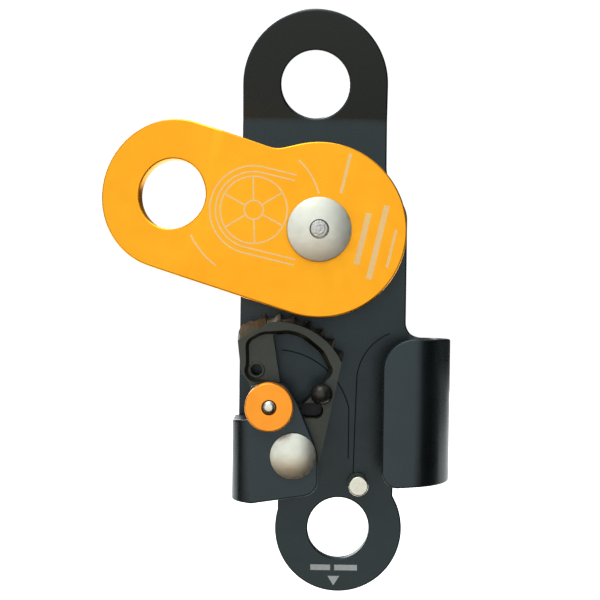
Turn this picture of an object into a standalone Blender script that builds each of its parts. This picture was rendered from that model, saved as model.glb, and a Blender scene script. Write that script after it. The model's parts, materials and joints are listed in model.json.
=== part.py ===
"""Rope pulley with a swing cheek and a toothed rope clamp, for 8 to 13 mm rope.

Sizes below are millimetres and become metres when a mesh is made. +X is right, +Y points away from the
viewer and +Z is up, as the pulley hangs. The origin is the centre of the hang eye, midway between the plates.
"""

import math

import bmesh
import bpy

MM = 0.001
FINE = 9.0
ROUND_SIDES = 32
SMALL_SIDES = 20
GAP = 0.3

PLATE_GAP = 16.5
PLATE_THICKNESS = 3.5
CHEEK_THICKNESS = 3.0
PLATE_FRONT = PLATE_GAP / 2
CHEEK_BACK = -PLATE_GAP / 2
CHEEK_FRONT = CHEEK_BACK - CHEEK_THICKNESS
PLATE_BACK = PLATE_FRONT + PLATE_THICKNESS

AXLE = (1.25, -40.4)
CAM_PIVOT = (-4.65, -98.7)
LOCK = (-10.9, -85.9)
GUIDE_PIN = (12.8, -107.8)
LOWER_EYE = (7.8, -120.4)

EYE_RADIUS = 19.6
EYE_HOLE = 9.25
EYE_STRETCH = 1.02
EYE_TILT = math.radians(16)
TILT_RADIUS = 8.0
TILT_ABOVE_AXLE = 29.4
LOWER_EYE_RADIUS = 17.2
LOWER_EYE_HOLE = 8.3

WING_DEPTH = 14.0
WING_FRONT = PLATE_FRONT - WING_DEPTH
TONGUE_FACE = WING_FRONT - PLATE_THICKNESS
RIGHT_BEND_X = 26.2
RIGHT_BEND_RADIUS = 7.0
RIGHT_TONGUE_END = 18.4
LEFT_BEND_X = -15.3
LEFT_BEND_RADIUS = 1.8
LEFT_WING_TOP = -89.7
LEFT_SHOULDER = -20.2
RELIEF_SLOT = 0.8
RELIEF_TOP = -91.5
BEND_STEPS = 5

CHEEK_OPEN = math.radians(76.9)
CHEEK_ROUND = 22.6
CHEEK_EYE_RISE = 39.0
CHEEK_EYE_HOLE = 9.1

AXLE_PIN_RADIUS = 4.0
SLEEVE_RADIUS = 5.2
CHEEK_BORE = 6.6
SHEAVE_RADIUS = 20.2
SHEAVE_HALF_WIDTH = 7.2
GROOVE_RADIUS = 6.7
TREAD_RADIUS = 14.5
CAP_RADIUS = 8.25

CAM_FRONT = -4.85
CAM_BACK = 7.35
RIVET_RADIUS = 2.9
HUB_RADIUS = 7.2
TOOTH_PITCH = 6.5
TOOTH_COUNT = 7
FIRST_TOOTH = 63.8
TOOTH_HEIGHT = 1.5
HEEL_ANGLE = 106.5
HEEL_CHAMFER_ANGLE = 100.7
HEEL_CHAMFER_GROWTH = 0.25
HEEL = [(-15.0, 29.6), (-14.8, 31.6), (-14.1, 33.3), (-12.2, 34.4)]
HEEL_FACE = [(-14.9, 29.3), (-13.9, 29.9), (-12.8, 30.6), (-11.0, 31.6)]
SPRING_WIRE = 0.45
SPRING_POCKET = 5.9
SPRING_POCKET_FLOOR = 3.0

KNOB_BACK = TONGUE_FACE - 0.4
KNOB_FRONT = KNOB_BACK - 5.5
KNOB_RADIUS = 6.2
LOCK_PIN_RADIUS = 1.75
LOCK_TIP = CAM_FRONT - 0.35


def clear_scene():
    for thing in list(bpy.data.objects):
        bpy.data.objects.remove(thing, do_unlink=True)


def finish_material(name, colour, roughness, metallic):
    material = bpy.data.materials.new(name)
    material.use_nodes = True
    shader = material.node_tree.nodes["Principled BSDF"]
    shader.inputs["Base Color"].default_value = (*colour, 1.0)
    shader.inputs["Roughness"].default_value = roughness
    shader.inputs["Metallic"].default_value = metallic
    return material


def axis_empty(name, centre):
    """A moving body's parent, on its joint's axis."""
    empty = bpy.data.objects.new(name, None)
    empty.location = (centre[0] * MM, 0, centre[1] * MM)
    bpy.context.collection.objects.link(empty)
    return empty


def add_solid(name, points, faces, look, centre=(0, 0), parent=None):
    """Makes an object from points around centre; look is (colour, roughness, metallic), or None on a cutter."""
    mesh = bpy.data.meshes.new(name)
    mesh.from_pydata([(x * MM, y * MM, z * MM) for x, y, z in points], [], faces)
    solid = bmesh.new()
    solid.from_mesh(mesh)
    bmesh.ops.recalc_face_normals(solid, faces=solid.faces)
    solid.to_mesh(mesh)
    solid.free()
    made = bpy.data.objects.new(name, mesh)
    bpy.context.collection.objects.link(made)
    if parent is None:
        made.location = (centre[0] * MM, 0, centre[1] * MM)
    else:
        made.parent = parent
    if look:
        mesh.materials.append(finish_material(name, *look))
        mesh.shade_smooth()
        mesh.set_sharp_from_angle(angle=math.radians(32))
    return made


def cut(target, cutter):
    """Subtracts cutter, which stays in the scene as a hidden helper."""
    cutter.parent = target.parent
    cutter.location = target.location
    cutter.hide_render = True
    cutter.display_type = "WIRE"
    boolean = target.modifiers.new(cutter.name, "BOOLEAN")
    boolean.operation = "DIFFERENCE"
    boolean.solver = "EXACT"
    boolean.object = cutter


def arc(centre, radius, start, end, step=FINE):
    """Points on a circle from start to end, in degrees, both ends included."""
    count = max(2, math.ceil(abs(end - start) / step))
    angles = [math.radians(start + (end - start) * i / count) for i in range(count + 1)]
    return [(centre[0] + radius * math.cos(a), centre[1] + radius * math.sin(a)) for a in angles]


def circle(centre, radius, sides=ROUND_SIDES):
    return arc(centre, radius, 0, 360, 360 / sides)[:-1]


def rounded(corners, step=FINE):
    """Closed outline through (x, z) points; a third number rounds that corner with an arc of that radius."""
    outline = []
    for i, (x, z, *radius) in enumerate(corners):
        if not radius:
            outline.append((x, z))
            continue
        before = corners[i - 1]
        after = corners[(i + 1) % len(corners)]
        angle_in = math.atan2(before[1] - z, before[0] - x)
        angle_out = math.atan2(after[1] - z, after[0] - x)
        turn = (angle_out - angle_in + math.pi) % (2 * math.pi) - math.pi
        middle = angle_in + turn / 2
        reach = radius[0] / math.sin(abs(turn) / 2)
        centre = (x + reach * math.cos(middle), z + reach * math.sin(middle))
        sweep = math.copysign(math.pi - abs(turn), turn)
        start = math.degrees(middle + math.pi + sweep / 2)
        outline += arc(centre, radius[0], start, start - math.degrees(sweep), step)
    return outline


def turned(name, profile, look, centre, parent=None, sides=ROUND_SIDES, hollow=False):
    """Turns (radius, y) points about the Y axis; a hollow profile closes on itself and clears the axis."""
    points = []
    rings = []
    for radius, y in profile:
        count = 1 if radius == 0 else sides
        rings.append([len(points) + i for i in range(count)])
        for i in range(count):
            angle = 2 * math.pi * i / count
            points.append((radius * math.cos(angle), y, radius * math.sin(angle)))
    pairs = list(zip(rings, rings[1:]))
    if hollow:
        pairs.append((rings[-1], rings[0]))
    faces = []
    for near, far in pairs:
        for i in range(sides):
            j = (i + 1) % sides
            corners = [near[i % len(near)], near[j % len(near)], far[j % len(far)], far[i % len(far)]]
            faces.append(list(dict.fromkeys(corners)))
    return add_solid(name, points, faces, look, centre, parent)


def ring(name, inner, outer, front, back, look, centre, parent=None, sides=ROUND_SIDES):
    """A plain washer or bush."""
    profile = [(inner, front), (outer, front), (outer, back), (inner, back)]
    return turned(name, profile, look, centre, parent, sides, hollow=True)


def layers(name, loops, look, centre=(0, 0), parent=None):
    """Joins outlines of equal length, given as (y, outline), into one solid with flat ends."""
    points = [(x, y, z) for y, outline in loops for x, z in outline]
    size = len(loops[0][1])
    faces = [list(range(size)), list(range(len(points) - size, len(points)))]
    for layer in range(len(loops) - 1):
        first = layer * size
        for i in range(size):
            j = (i + 1) % size
            faces.append([first + i, first + j, first + size + j, first + size + i])
    return add_solid(name, points, faces, look, centre, parent)


def prism(name, outline, front, back, look=None, centre=(0, 0), parent=None):
    return layers(name, [(front, outline), (back, outline)], look, centre, parent)


def tube(name, path, radius, look, centre, parent=None, sides=8):
    """A round wire along a path of (x, y, z) points, with flat ends."""
    points = []
    for i, point in enumerate(path):
        before = path[max(i - 1, 0)]
        after = path[min(i + 1, len(path) - 1)]
        along = [b - a for a, b in zip(before, after)]
        length = math.hypot(*along)
        along = [a / length for a in along]
        side = (along[2], 0.0, -along[0])
        width = math.hypot(*side)
        side = [a / width for a in side]
        up = [
            along[1] * side[2] - along[2] * side[1],
            along[2] * side[0] - along[0] * side[2],
            along[0] * side[1] - along[1] * side[0],
        ]
        for k in range(sides):
            angle = 2 * math.pi * k / sides
            c = radius * math.cos(angle)
            s = radius * math.sin(angle)
            points.append(tuple(p + c * a + s * b for p, a, b in zip(point, side, up)))
    faces = [list(range(sides)), list(range(len(points) - sides, len(points)))]
    for i in range(len(path) - 1):
        for k in range(sides):
            j = (k + 1) % sides
            first = i * sides
            faces.append([first + k, first + j, first + sides + j, first + sides + k])
    return add_solid(name, points, faces, look, centre, parent)


def helix(radius, start_y, end_y, turns, start_angle=0.0, per_turn=16):
    count = round(turns * per_turn)
    path = []
    for i in range(count + 1):
        angle = math.radians(start_angle) + 2 * math.pi * turns * i / count
        y = start_y + (end_y - start_y) * i / count
        path.append((radius * math.cos(angle), y, radius * math.sin(angle)))
    return path


def bent_sheet(name, outline, holes, thickness, cuts, bend, look, centre=(0, 0), parent=None):
    """Fills a flat pattern with holes, splits it along the cuts, thickens it and bends every point."""
    flat = bmesh.new()
    for loop in [outline, *holes]:
        corners = [flat.verts.new((s, z, 0)) for s, z in loop]
        for first, second in zip(corners, corners[1:] + corners[:1]):
            flat.edges.new((first, second))
    bmesh.ops.triangle_fill(flat, use_beauty=True, edges=flat.edges)
    for place, normal in cuts:
        everything = [*flat.verts, *flat.edges, *flat.faces]
        bmesh.ops.bisect_plane(flat, geom=everything, dist=1e-5, plane_co=place, plane_no=normal)
    bmesh.ops.triangulate(flat, faces=flat.faces)
    flat.verts.index_update()
    count = len(flat.verts)
    points = [bend(v.co.x, v.co.y, 0.0) for v in flat.verts]
    points += [bend(v.co.x, v.co.y, thickness) for v in flat.verts]
    faces = []
    for face in flat.faces:
        corners = [v.index for v in face.verts]
        faces.append(corners)
        faces.append([i + count for i in reversed(corners)])
    for edge in flat.edges:
        if len(edge.link_faces) == 1:
            a, b = (v.index for v in edge.verts)
            faces.append([a, b, b + count, a + count])
    flat.free()
    return add_solid(name, points, faces, look, centre, parent)


def tilted(height, inside, start):
    """Height and offset towards the other plate at a height on the pattern; inside is the depth behind the face."""
    turned_by = min(max((height - start) / (TILT_RADIUS + PLATE_THICKNESS / 2), 0.0), EYE_TILT)
    straight = height - start - turned_by * (TILT_RADIUS + PLATE_THICKNESS / 2)
    radius = TILT_RADIUS + inside
    rise = start + radius * math.sin(turned_by) + straight * math.cos(turned_by)
    offset = TILT_RADIUS - radius * math.cos(turned_by) + straight * math.sin(turned_by)
    return rise, offset


def pattern_height(rise, start):
    """Height on the flat pattern of a point whose height after the eye's bend is rise, past the bend."""
    middle = TILT_RADIUS + PLATE_THICKNESS / 2
    return start + middle * EYE_TILT + (rise - start - middle * math.sin(EYE_TILT)) / math.cos(EYE_TILT)


def wing_lengths(radius):
    """Length of one quarter bend along the middle of the sheet, and of the straight side between two."""
    return math.pi / 2 * (radius + PLATE_THICKNESS / 2), WING_DEPTH - 2 * radius


def wing_point(run, depth, radius):
    """Distance past the bend line and y, at a run along the pattern past it, for a wing that turns back."""
    quarter, side = wing_lengths(radius)
    middle = radius + PLATE_THICKNESS / 2
    if run <= quarter:
        angle = run / middle
        return (radius + depth) * math.sin(angle), PLATE_FRONT - radius + (radius + depth) * math.cos(angle)
    if run <= quarter + side:
        return radius + depth, PLATE_FRONT - radius - (run - quarter)
    low = PLATE_FRONT - radius - side
    if run <= 2 * quarter + side:
        angle = (run - quarter - side) / middle
        return (radius + depth) * math.cos(angle), low - (radius + depth) * math.sin(angle)
    return 2 * quarter + side - run, low - radius - depth


def plate_bend(s, z, depth):
    """Bends a point of the fixed plate's pattern: two wings turned to the front, and the eye leant forward."""
    tilt_start = AXLE[1] + TILT_ABOVE_AXLE
    if z > tilt_start:
        rise, offset = tilted(z, depth, tilt_start)
        return s, PLATE_FRONT - offset, rise
    if s > RIGHT_BEND_X:
        past, y = wing_point(s - RIGHT_BEND_X, depth, RIGHT_BEND_RADIUS)
        return RIGHT_BEND_X + past, y, z
    if s < LEFT_BEND_X and (z < RELIEF_TOP - RELIEF_SLOT / 2 or s < LEFT_SHOULDER):
        past, y = wing_point(LEFT_BEND_X - s, depth, LEFT_BEND_RADIUS)
        return LEFT_BEND_X - past, y, z
    return s, PLATE_FRONT + depth, z


def left_pattern(x):
    """Place on the pattern of a point of the left tongue."""
    quarter, side = wing_lengths(LEFT_BEND_RADIUS)
    return LEFT_BEND_X - 2 * quarter - side - (x - LEFT_BEND_X)


def right_pattern(x):
    quarter, side = wing_lengths(RIGHT_BEND_RADIUS)
    return RIGHT_BEND_X + 2 * quarter + side + (RIGHT_BEND_X - x)


def wing_cuts(line, direction, radius):
    """Split lines of a wing's two quarter bends."""
    quarter, side = wing_lengths(radius)
    cuts = []
    for start in (0.0, quarter + side):
        for i in range(BEND_STEPS + 1):
            run = start + quarter * i / BEND_STEPS
            cuts.append(((line + direction * run, 0, 0), (1, 0, 0)))
    return cuts


def tilt_cuts(start):
    length = EYE_TILT * (TILT_RADIUS + PLATE_THICKNESS / 2)
    return [((0, start + length * i / 2, 0), (0, 1, 0)) for i in range(3)]


def plate_outline():
    """The fixed plate's flat pattern, clockwise from the left of the hang eye."""
    eye = (0.0, pattern_height(0.0, AXLE[1] + TILT_ABOVE_AXLE))
    corners = [(x, eye[1] + (z - eye[1]) * EYE_STRETCH) for x, z in arc(eye, EYE_RADIUS, 180, 0)]
    corners += [
        (19.7, -24.5, 9.0),
        (25.5, -34.0, 9.0),
        (25.5, -68.3, 4.0),
        (right_pattern(RIGHT_TONGUE_END), -68.3, 8.0),
        (right_pattern(RIGHT_TONGUE_END), -107.2, 4.0),
        (RIGHT_BEND_X + 2, -104.8),
        (22.6, -104.8, 2.5),
    ]
    corners += arc(LOWER_EYE, LOWER_EYE_RADIUS, 31, -196)
    corners += [
        (-8.75, -111.3, 1.0),
        (LEFT_BEND_X, -111.3),
        ((LEFT_BEND_X + left_pattern(LEFT_BEND_X)) / 2, -110.1, 7.0),
        (left_pattern(LEFT_BEND_X), -111.3),
        (left_pattern(1.8), -108.7, 4.0),
        (left_pattern(1.8), -98.0, 12.0),
        (left_pattern(-3.4), -85.6, 9.0),
        (left_pattern(-7.0), -79.4, 5.0),
        (left_pattern(-15.7), -80.6, 1.2),
        (left_pattern(-15.7), LEFT_WING_TOP, 1.2),
        (LEFT_SHOULDER - 0.7, LEFT_WING_TOP),
        (LEFT_SHOULDER - 0.7, RELIEF_TOP - RELIEF_SLOT),
        (LEFT_BEND_X + 0.6, RELIEF_TOP - RELIEF_SLOT),
        (LEFT_BEND_X + 0.6, RELIEF_TOP),
        (-EYE_RADIUS, RELIEF_TOP, 0.6),
    ]
    return rounded(corners)


def build_fixed_plate(look):
    eye = (0.0, pattern_height(0.0, AXLE[1] + TILT_ABOVE_AXLE))
    holes = [
        circle(eye, EYE_HOLE),
        circle(AXLE, AXLE_PIN_RADIUS + GAP, SMALL_SIDES),
        circle(LOWER_EYE, LOWER_EYE_HOLE),
        circle(CAM_PIVOT, RIVET_RADIUS + GAP, SMALL_SIDES),
        circle((left_pattern(CAM_PIVOT[0]), CAM_PIVOT[1]), RIVET_RADIUS + GAP, SMALL_SIDES),
        circle((left_pattern(LOCK[0]), LOCK[1]), 4.5, SMALL_SIDES),
        circle(GUIDE_PIN, 2.3, SMALL_SIDES),
    ]
    cuts = wing_cuts(RIGHT_BEND_X, 1, RIGHT_BEND_RADIUS)
    cuts += wing_cuts(LEFT_BEND_X, -1, LEFT_BEND_RADIUS)
    cuts += tilt_cuts(AXLE[1] + TILT_ABOVE_AXLE)
    bent_sheet("fixed_plate", plate_outline(), holes, PLATE_THICKNESS, cuts, plate_bend, look)


def cheek_bend(u, v, depth):
    """Leans the swing cheek's eye back towards the fixed plate."""
    rise, offset = tilted(v, CHEEK_THICKNESS - depth, TILT_ABOVE_AXLE)
    return u, CHEEK_BACK + offset, rise


def build_swing_cheek(look, parent):
    eye = (0.0, pattern_height(CHEEK_EYE_RISE, TILT_ABOVE_AXLE))
    tangent = math.degrees(math.asin((CHEEK_ROUND - EYE_RADIUS) / eye[1]))
    corners = arc(eye, EYE_RADIUS, 180 - tangent, -3)
    corners.append((17.5, 15.6, 7.0))
    corners += arc((0, 0), CHEEK_ROUND, 26, -180 - tangent)
    holes = [circle(eye, CHEEK_EYE_HOLE), circle((0, 0), CHEEK_BORE)]
    cuts = tilt_cuts(TILT_ABOVE_AXLE)
    outline = rounded(corners)
    bent_sheet("swing_cheek", outline, holes, CHEEK_THICKNESS, cuts, cheek_bend, look, parent=parent)


def dome(radius, base_y, height, steps=5, centre_radius=0.0):
    """Half profile of a domed head from its rim to its middle, bulging to -Y."""
    sphere = (radius**2 + height**2) / (2 * height)
    profile = []
    for i in range(steps + 1):
        r = radius + (centre_radius - radius) * i / steps
        profile.append((r, base_y + sphere - height - math.sqrt(sphere**2 - r**2)))
    return profile


def build_axle(steel, bronze, plastic):
    head_back = PLATE_BACK + GAP + 0.6 + GAP
    profile = [(0, -14.9), (2.2, -14.8), (2.7, -14.3), (2.7, -11.9), (AXLE_PIN_RADIUS, -11.9)]
    profile += [(AXLE_PIN_RADIUS, head_back), (7.4, head_back), (7.8, head_back + 0.5)]
    profile += [(7.0, head_back + 1.7), (5.0, head_back + 2.1), (0, head_back + 2.3)]
    turned("axle_pin", profile, steel, AXLE)
    cap_base = CHEEK_FRONT - 1.0
    cap = [(3.0, cap_base), (CAP_RADIUS, cap_base)]
    cap += dome(CAP_RADIUS, cap_base - 0.5, 2.5, 5, 3.0)
    turned("axle_cap", cap, steel, AXLE, hollow=True)
    ring("cheek_washer", SLEEVE_RADIUS + GAP, 7.9, CHEEK_FRONT - 0.7, CHEEK_FRONT - 0.2, plastic, AXLE)
    ring("rear_axle_washer", 4.3, 8.2, PLATE_BACK + GAP, PLATE_BACK + GAP + 0.6, steel, AXLE)
    ring("axle_sleeve", AXLE_PIN_RADIUS + GAP, SLEEVE_RADIUS, -11.6, 7.95, steel, AXLE)
    ring("thrust_washer_front", SLEEVE_RADIUS + GAP, 10.5, -8.0, -7.45, bronze, AXLE)
    ring("thrust_washer_rear", SLEEVE_RADIUS + GAP, 10.5, 7.45, 8.0, bronze, AXLE)


def build_sheave(aluminium, bronze, parent):
    half = SHEAVE_HALF_WIDTH
    groove_half = 5.9
    groove = []
    for i in range(7):
        y = groove_half * (i / 3 - 1)
        groove.append((TREAD_RADIUS + GROOVE_RADIUS - math.sqrt(GROOVE_RADIUS**2 - y**2), y))
    rim = [(SHEAVE_RADIUS, -half + 0.5), (SHEAVE_RADIUS - 0.5, -half)]
    back_rim = [(SHEAVE_RADIUS - 0.5, half), (SHEAVE_RADIUS, half - 0.5)]
    web = [(12.5, -half), (12.0, -half + 1.2), (9.6, -half + 1.2), (9.2, -half), (7.8, -half)]
    back_web = [(r, -y) for r, y in reversed(web)]
    profile = [*web, *back_web, *back_rim, *reversed(groove), *rim]
    turned("sheave", profile, aluminium, (0, 0), parent, ROUND_SIDES, hollow=True)
    ring("sheave_bush", SLEEVE_RADIUS + 0.2, 7.5, -half, half, bronze, (0, 0), parent)


def tip_radius(angle):
    """Spiral of the tooth tips: the radius grows as the cam opens, so that pull on the rope tightens it."""
    past = angle - 63.2
    return 29.3 + 0.355 * past - 0.0039 * past**2


def face_radius(angle):
    """Edge of the cam's front face below the teeth; it falls back to a wide chamfer at the heel."""
    chamfer = HEEL_CHAMFER_GROWTH * max(angle - HEEL_CHAMFER_ANGLE, 0)
    return tip_radius(angle) - 2.2 - chamfer


def cam_outline(toothed, inset=0.0):
    """Outline around the pivot, clockwise from the heel of the toothed edge; every layer has the same points."""
    outline = []
    for tooth in range(TOOTH_COUNT - 1, -1, -1):
        tip = FIRST_TOOTH + TOOTH_PITCH * tooth
        for angle, height in ((tip + 5.0, 0.0), (tip + 0.5, 1.0), (tip - 0.3, 1.0), (tip - 0.8, 0.0)):
            if angle > HEEL_ANGLE:
                continue
            radius = face_radius(angle) - inset
            if toothed:
                radius = tip_radius(angle) - TOOTH_HEIGHT * (1 - height)
            outline.append((radius, angle))
    points = [(r * math.cos(math.radians(a)), r * math.sin(math.radians(a))) for r, a in outline]
    corner = (12.4, 24.0)
    reach = math.degrees(math.acos(HUB_RADIUS / math.hypot(*corner)))
    tangent = math.degrees(math.atan2(corner[1], corner[0])) - reach
    points.append(corner)
    points += arc((0, 0), HUB_RADIUS, tangent, -190, 15)
    points += [(-9.6, 8.5), (-11.9, 18.6), (-13.9, 21.0), (-14.5, 25.8)]
    return points + (HEEL if toothed else HEEL_FACE)


def build_cam(look, bronze, black, parent):
    loops = [
        (CAM_FRONT, cam_outline(False, 0.4)),
        (CAM_FRONT + 0.4, cam_outline(False)),
        (CAM_FRONT + 1.7, cam_outline(True)),
        (CAM_BACK - 0.8, cam_outline(True)),
        (CAM_BACK, cam_outline(False)),
    ]
    cam = layers("cam", loops, look, parent=parent)
    window = [(-5.2, 29.6), (-3.7, 19.1), (-3.4, 13.9), (1.6, 12.0, 1.5), (8.0, 18.4, 2.5)]
    window += [(10.3, 21.8, 1.8), (6.9, 26.3, 6.0), (1.2, 31.2, 9.0)]
    cut(cam, prism("cam_window_cutter", rounded(window), CAM_FRONT - 2, CAM_BACK + 2))
    recess = [(-5.2, 29.7), (-1.5, 29.5), (-1.5, 12.8), (-3.4, 12.6), (-6.0, 19.1), (-8.2, 19.2)]
    recess += [(-11.9, 21.0, 1.6), (-12.6, 28.6, 2.0), (-8.3, 31.7, 6.0), (-4.4, 32.0)]
    cut(cam, prism("cam_recess_cutter", rounded(recess), CAM_FRONT - 2, CAM_FRONT + 2.6))
    cut(cam, prism("cam_back_recess_cutter", rounded(recess), CAM_BACK - 3.0, CAM_BACK + 2))
    cut(cam, prism("cam_web_hole_cutter", circle((-9.95, 21.6), 1.45, 12), CAM_FRONT - 2, CAM_BACK + 2))
    lock_hole = (LOCK[0] - CAM_PIVOT[0], LOCK[1] - CAM_PIVOT[1])
    cut(cam, prism("cam_lock_hole_cutter", circle(lock_hole, 2.1, 16), CAM_FRONT - 2, CAM_FRONT + 4.5))
    cut(cam, prism("cam_bore_cutter", circle((0, 0), 4.35), CAM_FRONT - 2, CAM_BACK + 2))
    pocket = circle((0, 0), SPRING_POCKET)
    cut(cam, prism("cam_spring_pocket_cutter", pocket, SPRING_POCKET_FLOOR, CAM_BACK + 2))
    notch = [(1.9, 9.6, 1.6), (7.4, 9.6, 1.6), (7.4, 13.0, 1.6), (1.9, 13.0, 1.6)]
    cut(cam, prism("cam_notch_cutter", rounded(notch), CAM_FRONT - 2, CAM_FRONT + 2.5))
    slot = [(-1.0, 4.0), (-1.0, 8.2, 0.9), (1.2, 8.2, 0.9), (1.2, 4.0)]
    cut(cam, prism("cam_spring_slot_cutter", rounded(slot), CAM_BACK - 2.4, CAM_BACK + 2))
    ring("cam_bush", RIVET_RADIUS + 0.2, 4.1, CAM_FRONT, SPRING_POCKET_FLOOR - 0.2, bronze, (0, 0), parent)
    neck = CAM_FRONT - 0.3
    stud = [(0, neck), (1.9, neck), (1.7, neck - 0.7)]
    ball_radius = 2.9
    ball_y = neck - 2.8
    for i in range(1, 8):
        angle = math.radians(50 - 20 * i)
        stud.append((ball_radius * math.cos(angle), ball_y + ball_radius * math.sin(angle)))
    stud.append((0, ball_y - ball_radius))
    thumb = turned("thumb_stud", stud, black, (0, 0), parent, SMALL_SIDES)
    thumb.location = (7.15 * MM, 0, 15.9 * MM)


def build_cam_pivot(steel, bronze, spring_look):
    rear = PLATE_BACK + GAP
    front = TONGUE_FACE - GAP
    head = dome(5.9, front - 0.4, 2.0, 5)
    profile = [*reversed(head), (5.9, front), (RIVET_RADIUS, front), (RIVET_RADIUS, rear + 0.9)]
    profile += [(2.0, rear + 1.5), (0, rear + 1.7)]
    turned("cam_rivet", profile, steel, CAM_PIVOT)
    ring("cam_rear_washer", RIVET_RADIUS + 0.2, 5.6, rear, rear + 0.8, steel, CAM_PIVOT)
    ring("cam_shim_front", RIVET_RADIUS + 0.2, 6.2, WING_FRONT + 0.2, CAM_FRONT - 0.2, bronze, CAM_PIVOT)
    ring("cam_shim_rear", RIVET_RADIUS + 0.2, 4.3, CAM_BACK + 0.1, PLATE_FRONT - 0.2, bronze, CAM_PIVOT)
    coil = helix(5.0, SPRING_POCKET_FLOOR + 0.8, CAM_BACK - 0.75, 3.25, 0.0)
    coil.append((0.1, CAM_BACK - 0.7, 6.6))
    tube("cam_torsion_spring", coil, SPRING_WIRE, spring_look, CAM_PIVOT)


def build_lock(knob_look, steel, spring_look, parent):
    bore_floor = KNOB_BACK - 4.0
    ease = 0.5
    knob = [(1.95, KNOB_FRONT), (KNOB_RADIUS - ease, KNOB_FRONT), (KNOB_RADIUS, KNOB_FRONT + ease)]
    knob += [(KNOB_RADIUS, KNOB_BACK - ease), (KNOB_RADIUS - ease, KNOB_BACK), (4.65, KNOB_BACK)]
    knob += [(4.65, bore_floor), (1.95, bore_floor)]
    turned("lock_knob", knob, knob_look, (0, 0), parent, hollow=True)
    pin = [(0, KNOB_FRONT - 0.5), (1.2, KNOB_FRONT - 0.4), (LOCK_PIN_RADIUS, KNOB_FRONT)]
    pin += [(LOCK_PIN_RADIUS, LOCK_TIP - 0.5), (1.3, LOCK_TIP), (0, LOCK_TIP)]
    turned("lock_pin", pin, steel, (0, 0), parent, SMALL_SIDES)
    ring("lock_pin_collar", 1.95, 2.85, -6.9, -6.1, steel, (0, 0), parent, SMALL_SIDES)
    sleeve_front = bore_floor + 0.35
    sleeve = [(3.05, WING_FRONT), (4.2, WING_FRONT), (4.2, sleeve_front), (2.05, sleeve_front)]
    sleeve += [(2.05, sleeve_front + 0.7), (3.05, sleeve_front + 0.7)]
    turned("lock_sleeve", sleeve, steel, LOCK, sides=SMALL_SIDES, hollow=True)
    coil = helix(2.45, -7.35, sleeve_front + 1.1, 4.0, 0.0, 10)
    tube("lock_spring", coil, 0.22, spring_look, LOCK, sides=6)


def build_guide_pin(look):
    profile = [(0, -0.1), (2.1, -0.1), (2.65, 0.5), (2.65, PLATE_FRONT - 0.2), (2.0, PLATE_FRONT - 0.2)]
    profile += [(2.0, PLATE_BACK + 0.4), (1.4, PLATE_BACK + 0.8), (0, PLATE_BACK + 0.9)]
    turned("rope_guide_pin", profile, look, GUIDE_PIN, sides=SMALL_SIDES)


def build():
    clear_scene()
    black_plate = ((0.036, 0.048, 0.055), 0.42, 0.7)
    gold = ((0.93, 0.38, 0.02), 0.33, 0.85)
    knob_orange = ((0.92, 0.36, 0.04), 0.4, 0.6)
    steel = ((0.62, 0.6, 0.56), 0.25, 1.0)
    dark_steel = ((0.07, 0.062, 0.05), 0.45, 0.9)
    bronze = ((0.52, 0.35, 0.16), 0.35, 1.0)
    aluminium = ((0.55, 0.56, 0.57), 0.3, 1.0)
    nylon = ((0.05, 0.05, 0.05), 0.5, 0.0)
    spring_steel = ((0.45, 0.44, 0.42), 0.3, 1.0)

    cheek_axis = axis_empty("cheek_swing_axis", AXLE)
    cheek_axis.rotation_euler = (0, -CHEEK_OPEN, 0)
    sheave_axis = axis_empty("sheave_spin_axis", AXLE)
    cam_axis = axis_empty("cam_pivot_axis", CAM_PIVOT)
    lock_axis = axis_empty("lock_pull_axis", LOCK)

    build_fixed_plate(black_plate)
    build_swing_cheek(gold, cheek_axis)
    bush = (SLEEVE_RADIUS + 0.15, CHEEK_BORE - 0.2, CHEEK_FRONT + 0.1, CHEEK_BACK - 0.1)
    ring("cheek_bush", *bush, bronze, (0, 0), cheek_axis)
    build_axle(steel, bronze, nylon)
    build_sheave(aluminium, bronze, sheave_axis)
    build_cam(dark_steel, bronze, dark_steel, cam_axis)
    build_cam_pivot(steel, bronze, spring_steel)
    build_lock(knob_orange, steel, spring_steel, lock_axis)
    build_guide_pin(steel)


build()
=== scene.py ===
"""Looks of the rope pulley: smooth metal pieces in place of the frame's, their finishes and the studio."""

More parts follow.
